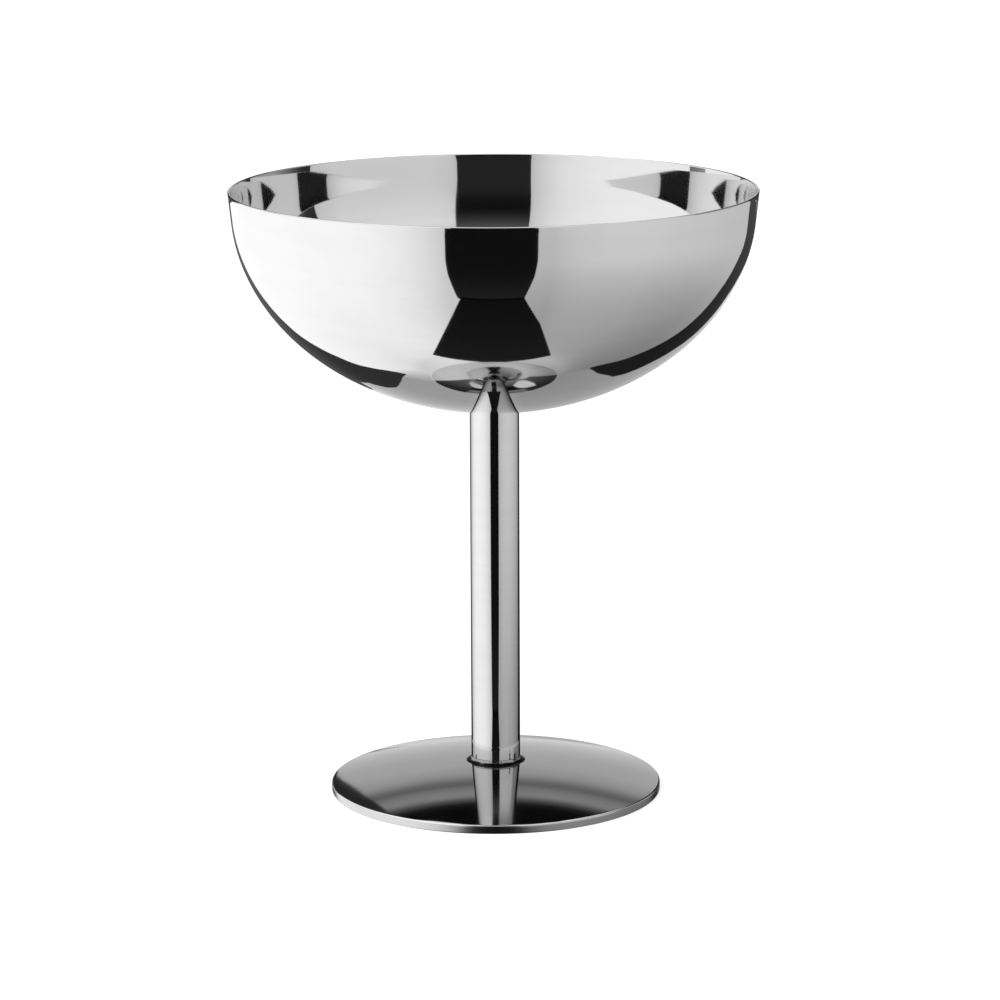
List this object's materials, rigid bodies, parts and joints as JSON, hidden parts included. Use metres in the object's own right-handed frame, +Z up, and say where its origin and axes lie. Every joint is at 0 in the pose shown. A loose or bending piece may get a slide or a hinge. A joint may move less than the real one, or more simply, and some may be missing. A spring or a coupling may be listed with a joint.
{
  "type": "stainless steel coupe",
  "caption": "Footed coupe with a wide half-round bowl on a straight tube stem and a low domed foot, for ice cream, dessert or drinks.",
  "frame": {"origin": "centre of the ring that the foot stands on, on the table", "axes": "+Z up along the stem, through the middle of the bowl; the cup is round about it, so +X and +Y are free"},
  "size_m": [0.106, 0.106, 0.124],
  "materials": {
    "bowl_steel": "mirror polish with faint spinning lines",
    "stem_steel": "mirror polish on drawn tube",
    "foot_steel": "mirror polish on pressed sheet",
    "weld_metal": "dull, slightly uneven weld"
  },
  "bodies": {
    "root": {"bowl": "bowl_steel", "stem": "stem_steel", "foot": "foot_steel", "foot_weld": "weld_metal", "bowl_weld": "weld_metal"}
  },
  "joints": []
}
